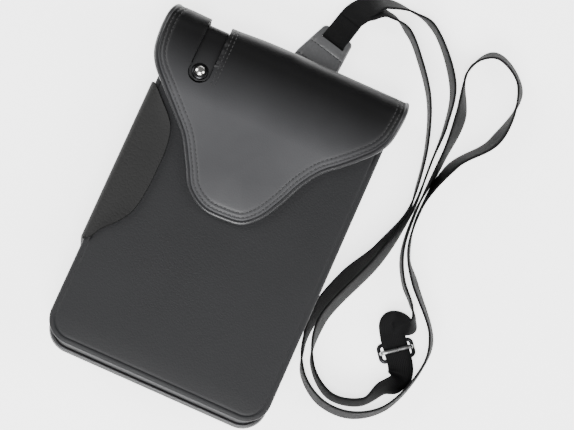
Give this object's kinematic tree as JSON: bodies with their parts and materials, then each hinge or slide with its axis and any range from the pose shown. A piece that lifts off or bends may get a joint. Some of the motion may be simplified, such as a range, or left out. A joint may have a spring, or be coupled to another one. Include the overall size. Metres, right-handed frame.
{
  "type": "ever ready camera case",
  "caption": "Tall leather pouch for a folding camera, with a shaped flap, a snap retaining strap, a side leaf and a woven carrying strap with a slider.",
  "frame": {"origin": "centre of the back panel's outer face, on the surface that the case lies on", "axes": "+X across the case towards the strap's side, +Y from the bottom to the mouth, +Z from the back to the front"},
  "size_m": [0.2059, 0.2557, 0.0443],
  "materials": {
    "body_leather": "matte black leather, fine grain",
    "flap_leather": "satin black leather, smooth",
    "piping_leather": "polished black leather edge",
    "board": "stiffening board",
    "lining": "short pile lining",
    "closure_tape": "hook and loop tape",
    "nickel": "bright nickel plate",
    "tab_leather": "satin grey-black leather",
    "webbing": "woven black webbing",
    "slider_metal": "dark plated steel"
  },
  "bodies": {
    "case": {"back_panel": "body_leather", "back_board": "board", "back_lining": "lining", "gusset": "body_leather", "gusset_lining": "lining", "front_panel": "body_leather", "front_board": "board", "front_lining": "lining", "front_piping": "piping_leather", "back_piping": "piping_leather", "mouth_binding": "piping_leather", "closure_loop_patch": "closure_tape", "snap_stud": "nickel", "retainer_anchor": "piping_leather", "wing_side": "body_leather", "strap_tab": "tab_leather", "strap_end_loop": "webbing", "strap": "webbing"},
    "spine": {"spine_leather": "flap_leather", "spine_lining": "lining"},
    "flap": {"flap_leather": "flap_leather", "flap_lining": "lining", "flap_binding": "piping_leather", "closure_hook_patch": "closure_tape"},
    "retainer": {"retainer_strap": "piping_leather", "snap_cap": "nickel", "snap_socket": "nickel"},
    "wing": {"wing_leaf": "body_leather"},
    "slider": {"slider_frame": "slider_metal", "slider_bar": "slider_metal"}
  },
  "joints": [
    {"name": "flap_hinge", "type": "hinge", "parent": "spine", "child": "flap", "pos_m": [0, 0.0986, 0.0415], "axis": [-1, 0, 0], "range_deg": [0, 135]},
    {"name": "spine_hinge", "type": "hinge", "parent": "case", "child": "spine", "pos_m": [0, 0.0986, 0.0049], "axis": [-1, 0, 0], "range_deg": [0, 45]},
    {"name": "retainer_hinge", "type": "hinge", "parent": "case", "child": "retainer", "pos_m": [-0.0442, 0.0954, 0.0106], "axis": [-1, 0, 0], "range_deg": [0, 75]},
    {"name": "wing_hinge", "type": "hinge", "parent": "case", "child": "wing", "pos_m": [-0.0658, 0, 0.0385], "axis": [0, -1, 0], "range_deg": [0, 110]},
    {"name": "slider_slide", "type": "slide", "parent": "case", "child": "slider", "axis": [0.6157, -0.788, 0], "range_m": [-0.002, 0.002]}
  ],
  "couplings": [
    {"joint": "spine_hinge", "follows": "flap_hinge", "ratio": 0.33333}
  ]
}
